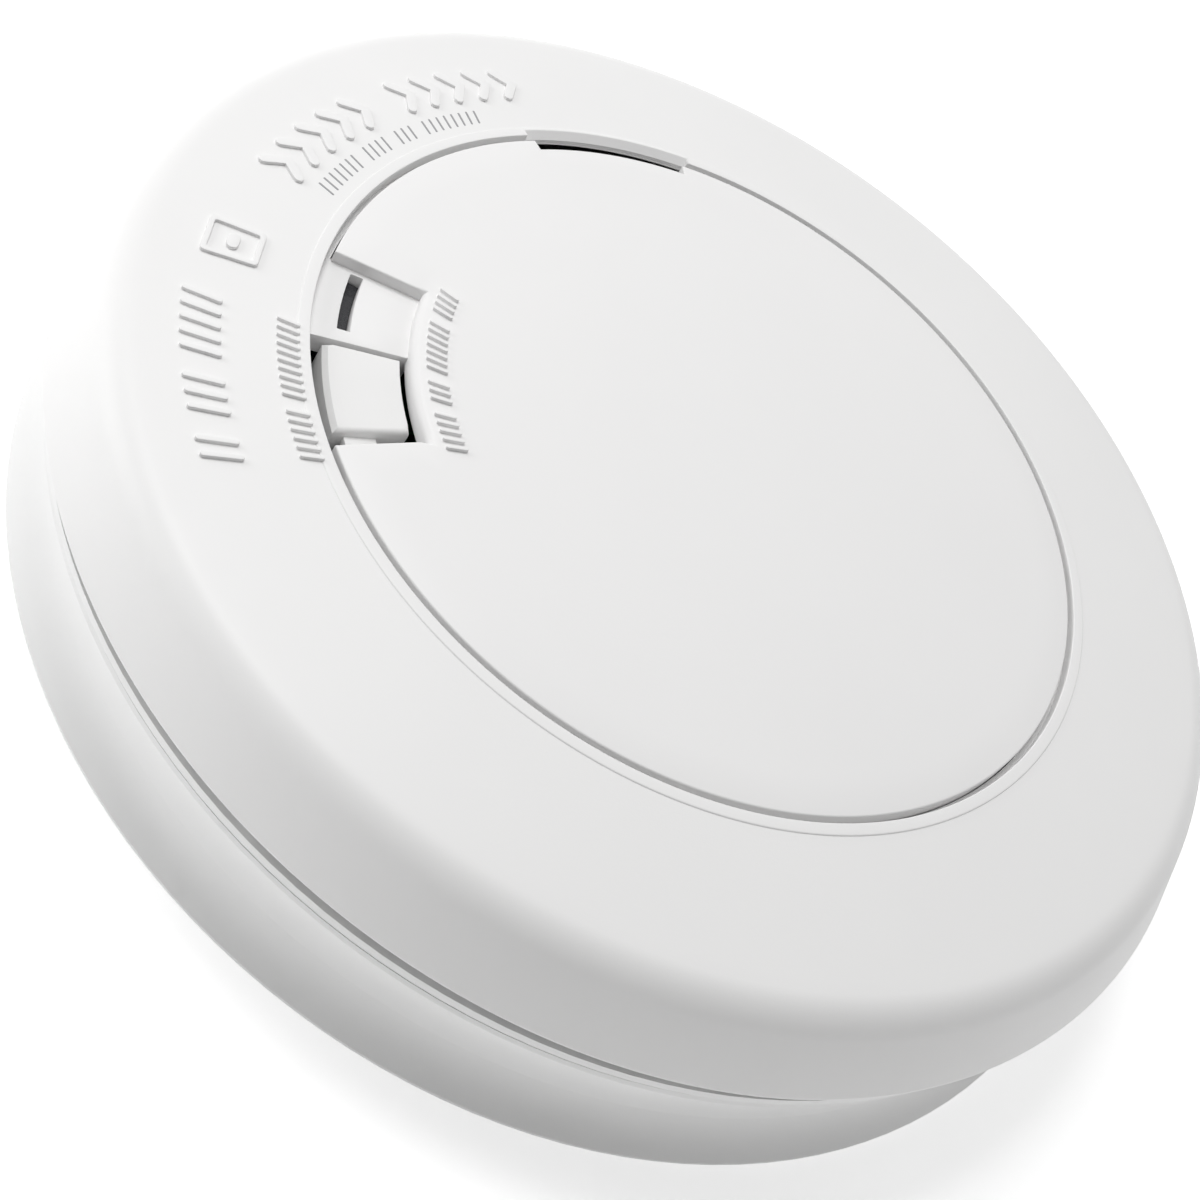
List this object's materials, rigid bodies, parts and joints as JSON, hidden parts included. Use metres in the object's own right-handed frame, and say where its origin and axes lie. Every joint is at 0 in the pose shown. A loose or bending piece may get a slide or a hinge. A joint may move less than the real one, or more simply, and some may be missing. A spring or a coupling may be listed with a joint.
{
  "type": "carbon monoxide detector",
  "caption": "Slim round ceiling or wall alarm for smoke and carbon monoxide: white domed cover, hinged test button, horn slot, twist-off mounting bracket.",
  "frame": {"origin": "centre of the bracket's mounting face, on the surface it is screwed to", "axes": "+Z out of the mounting surface through the middle of the domed face; +Y towards the horn slot; the test button lies towards -X"},
  "size_m": [0.142, 0.142, 0.032],
  "materials": {
    "bracket_plastic": "satin moulded white plastic",
    "housing_plastic": "satin moulded white plastic",
    "cover_plastic": "fine satin moulded white plastic",
    "panel_plastic": "fine satin moulded white plastic",
    "button_plastic": "fine satin moulded white plastic",
    "black_plastic": "moulded black plastic",
    "chamber_plastic": "matt black, light absorbing",
    "clear_plastic": "clear moulded plastic",
    "cell_wrap": "shrink sleeve",
    "nickel_strip": "nickel plated",
    "board_laminate": "green solder resist",
    "screw_steel": "zinc plated",
    "screen_steel": "woven wire",
    "foam": "closed cell foam",
    "disc_brass": "rolled",
    "ceramic_white": "fired, silvered",
    "sensor_plastic": "moulded light grey plastic",
    "copper_wire": "enamelled winding",
    "capacitor_can": "sleeved can",
    "label_paper": "blank adhesive label"
  },
  "bodies": {
    "bracket": {"mounting_bracket": "bracket_plastic"},
    "alarm": {"rear_housing": "housing_plastic", "back_label": "label_paper", "front_cover": "cover_plastic", "centre_panel": "panel_plastic", "switch_body": "black_plastic", "light_pipe": "clear_plastic", "status_leds": "clear_plastic", "battery_cells": "cell_wrap", "battery_cradle": "black_plastic", "battery_tabs": "nickel_strip", "circuit_board": "board_laminate", "board_screws": "screw_steel", "cover_screws": "screw_steel", "smoke_chamber_base": "chamber_plastic", "smoke_chamber_cover": "chamber_plastic", "insect_screen": "screen_steel", "chamber_pad": "foam", "infrared_emitter": "clear_plastic", "photodiode": "black_plastic", "horn_housing": "housing_plastic", "horn_seal": "foam", "piezo_disc": "disc_brass", "piezo_ceramic": "ceramic_white", "horn_springs": "nickel_strip", "co_sensor_body": "sensor_plastic", "co_sensor_cap": "sensor_plastic", "co_sensor_pins": "nickel_strip", "microcontroller": "black_plastic", "boost_inductor": "chamber_plastic", "inductor_winding": "copper_wire", "electrolytic_capacitors": "capacitor_can", "chip_parts": "ceramic_white"},
    "button": {"test_button": "button_plastic"},
    "plunger": {"switch_plunger": "black_plastic"},
    "power_slider": {"power_slider": "black_plastic"},
    "stop_slider": {"deactivation_slider": "black_plastic"}
  },
  "joints": [
    {"name": "alarm_twist", "type": "hinge", "parent": "bracket", "child": "alarm", "pos_m": [0, 0, 0.01], "axis": [0, 0, 1], "range_deg": [0, 15]},
    {"name": "button_press", "type": "hinge", "parent": "alarm", "child": "button", "pos_m": [-0.04067, -0.00521, 0.02714], "axis": [-0.9919, -0.1271, 0], "range_deg": [0, 3], "stiffness_Nm_per_rad": 0.4, "springref_deg": -0.57},
    {"name": "plunger_travel", "type": "slide", "parent": "alarm", "child": "plunger", "axis": [0, 0, -1], "range_m": [0, 0.00046]},
    {"name": "power_slide", "type": "hinge", "parent": "alarm", "child": "power_slider", "pos_m": [0, 0, 0.01], "axis": [0, 0, 1], "range_deg": [-15, 0]},
    {"name": "deactivation_slide", "type": "slide", "parent": "alarm", "child": "stop_slider", "axis": [1, 0, 0], "range_m": [0, 0.004]}
  ],
  "couplings": [
    {"joint": "plunger_travel", "follows": "button_press", "m_per_rad": 0.0085},
    {"joint": "power_slide", "follows": "alarm_twist", "ratio": -1}
  ]
}
